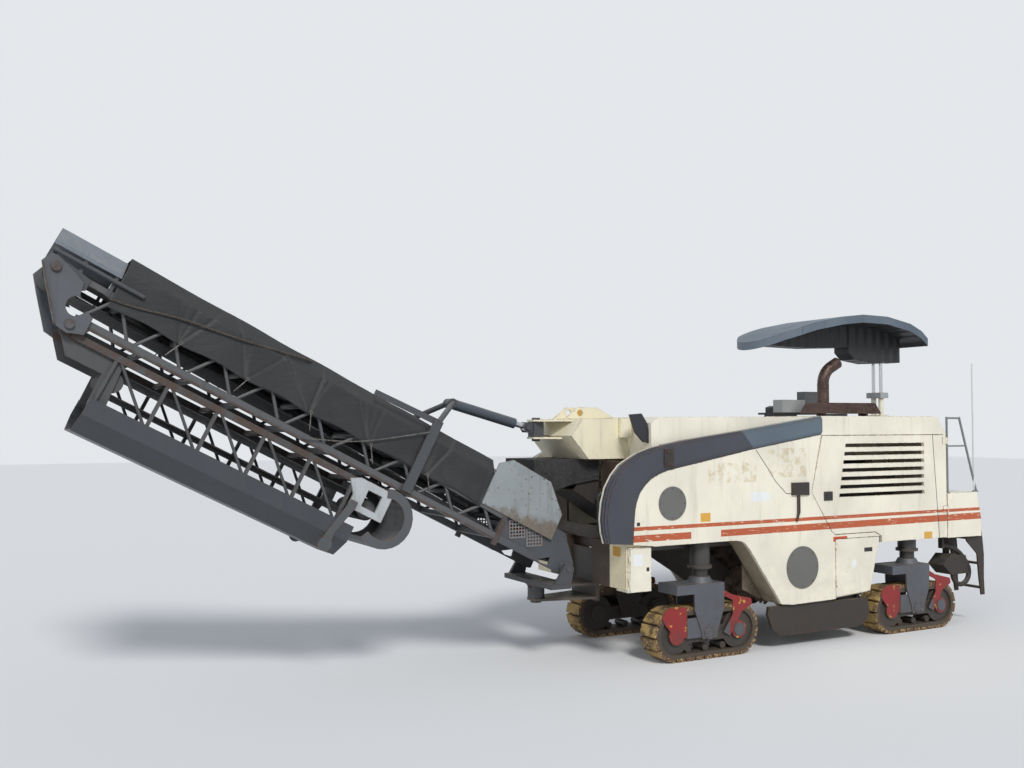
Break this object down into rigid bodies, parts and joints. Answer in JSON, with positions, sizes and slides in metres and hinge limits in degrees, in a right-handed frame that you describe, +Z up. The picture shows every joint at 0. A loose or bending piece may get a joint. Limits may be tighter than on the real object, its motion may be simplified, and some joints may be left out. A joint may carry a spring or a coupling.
{
  "type": "cold planer milling machine",
  "caption": "Compact cold planer on steered crawler tracks, with a milling drum between the axles, a canopy over the platform and a folding front conveyor.",
  "frame": {"origin": "on the ground under the middle of the machine with its conveyor folded back and pointing forward", "axes": "+X forward along the conveyor, +Y to the machine's left, +Z up"},
  "size_m": [10.8914, 1.946, 4.1403],
  "materials": {
    "paint_cream": "satin, weathered",
    "paint_white": "satin, weathered",
    "paint_anthracite": "satin",
    "paint_grey": "matt, worn",
    "steel_dark": "matt, dirty",
    "galvanised": "dull, dirty",
    "rusty_steel": "rusty",
    "rubber": "matt",
    "cloth": "coated canvas, creased",
    "track_pad": "worn polyurethane",
    "chrome": "polished",
    "tool_steel": "worn",
    "roof_plastic": "weathered",
    "seat_black": "matt"
  },
  "bodies": {
    "chassis": {"frame": "paint_cream", "side_walls": "paint_cream", "stores": "paint_cream", "small_box": "paint_cream", "drum_housing": "steel_dark", "nose": "paint_cream", "lower_bracket": "paint_cream", "front_hood": "paint_white", "side_trim": "paint_anthracite", "round_covers": "paint_grey", "engine_hood": "paint_white", "engine": "steel_dark", "platform": "paint_white", "controls": "seat_black", "pickup_belt": "steel_dark", "pickup_hood": "rubber", "top_bracket": "paint_cream", "skids": "steel_dark", "exhaust": "rusty_steel", "handrails": "galvanised", "ladder": "steel_dark", "posts": "paint_white", "nose_hoses": "rubber", "rear_block": "steel_dark", "catches": "steel_dark", "rear_mirror": "steel_dark"},
    "track_front_left": {"track_fl": "track_pad", "bogie_fl": "paint_grey"},
    "track_front_right": {"track_fr": "track_pad", "bogie_fr": "paint_grey"},
    "track_rear_left": {"track_rl": "track_pad", "bogie_rl": "paint_grey"},
    "track_rear_right": {"track_rr": "track_pad", "bogie_rr": "paint_grey"},
    "milling_drum": {"drum": "tool_steel"},
    "slew": {"slew_cradle": "paint_grey", "slew_head": "paint_grey"},
    "boom": {"boom_tail": "paint_grey", "boom_frame": "paint_grey", "boom_head": "paint_grey", "fold_arms": "paint_grey", "hopper": "galvanised", "gantry": "paint_grey", "boom_cover": "paint_grey", "boom_hoops": "galvanised", "boom_tarp": "cloth", "boom_belt": "rubber", "tail_grilles": "galvanised"},
    "boom_tip": {"tip_frame": "paint_grey", "tip_cover": "paint_anthracite", "tip_belt": "rubber", "tip_head": "galvanised"},
    "lift_cylinder": {"lift_barrel": "paint_grey"},
    "lift_piston": {"lift_rod": "chrome"},
    "engine_side_door": {"engine_door": "paint_white"},
    "store_door_left": {"store_left": "paint_white"},
    "store_door_right": {"store_right": "paint_white"},
    "small_box_door": {"box_door": "paint_white"},
    "roof": {"canopy": "roof_plastic"}
  },
  "joints": [
    {"name": "steer_front_left", "type": "hinge", "parent": "chassis", "child": "track_front_left", "pos_m": [-1.05071, 0.745, 0.5], "axis": [0, 0, 1], "range_deg": [-25, 25]},
    {"name": "steer_front_right", "type": "hinge", "parent": "chassis", "child": "track_front_right", "pos_m": [-1.05071, -0.745, 0.5], "axis": [0, 0, 1], "range_deg": [-25, 25]},
    {"name": "steer_rear_left", "type": "hinge", "parent": "chassis", "child": "track_rear_left", "pos_m": [-4.22071, 0.745, 0.5], "axis": [0, 0, 1], "range_deg": [-25, 25]},
    {"name": "steer_rear_right", "type": "hinge", "parent": "chassis", "child": "track_rear_right", "pos_m": [-4.22071, -0.745, 0.5], "axis": [0, 0, 1], "range_deg": [-25, 25]},
    {"name": "drum_spin", "type": "hinge", "parent": "chassis", "child": "milling_drum", "pos_m": [-2.33671, 0, 0.89], "axis": [0, 1, 0], "continuous": true},
    {"name": "conveyor_slew", "type": "hinge", "parent": "chassis", "child": "slew", "pos_m": [0.54929, 0, 1], "axis": [0, 0, 1], "range_deg": [-45, 45]},
    {"name": "conveyor_luff", "type": "hinge", "parent": "slew", "child": "boom", "pos_m": [0.44929, 0, 1], "axis": [0, 1, 0], "range_deg": [-3, 12]},
    {"name": "conveyor_fold", "type": "hinge", "parent": "boom", "child": "boom_tip", "pos_m": [5.22733, 0, 3.31444], "axis": [0, -1, 0], "range_deg": [0, 178]},
    {"name": "lift_barrel_hinge", "type": "hinge", "parent": "boom", "child": "lift_cylinder", "pos_m": [1.55929, 0, 2.7], "axis": [0, 1, 0], "range_deg": [-2, 5]},
    {"name": "lift_rod_slide", "type": "slide", "parent": "lift_cylinder", "child": "lift_piston", "axis": [-0.9641, 0, -0.2654], "range_m": [-0.08, 0.31]},
    {"name": "engine_door_swing", "type": "hinge", "parent": "chassis", "child": "engine_side_door", "pos_m": [-4.70271, 0.952, 1.7], "axis": [0, 0, 1], "range_deg": [0, 100]},
    {"name": "store_left_swing", "type": "hinge", "parent": "chassis", "child": "store_door_left", "pos_m": [-2.85671, 0.948, 0.9], "axis": [0, 0, -1], "range_deg": [0, 110]},
    {"name": "store_right_swing", "type": "hinge", "parent": "chassis", "child": "store_door_right", "pos_m": [-2.85671, -0.948, 0.9], "axis": [0, 0, 1], "range_deg": [0, 110]},
    {"name": "box_door_swing", "type": "hinge", "parent": "chassis", "child": "small_box_door", "pos_m": [-0.01071, 0.936, 1], "axis": [0, 0, -1], "range_deg": [0, 110]},
    {"name": "canopy_lift", "type": "slide", "parent": "chassis", "child": "roof", "axis": [0, 0, 1], "range_m": [-0.25, 0]}
  ],
  "couplings": [
    {"joint": "steer_front_right", "follows": "steer_front_left", "ratio": 1},
    {"joint": "steer_rear_right", "follows": "steer_rear_left", "ratio": 1},
    {"joint": "lift_barrel_hinge", "follows": "conveyor_luff", "ratio": 0.372},
    {"joint": "lift_rod_slide", "follows": "conveyor_luff", "m_per_rad": 1.4146}
  ]
}
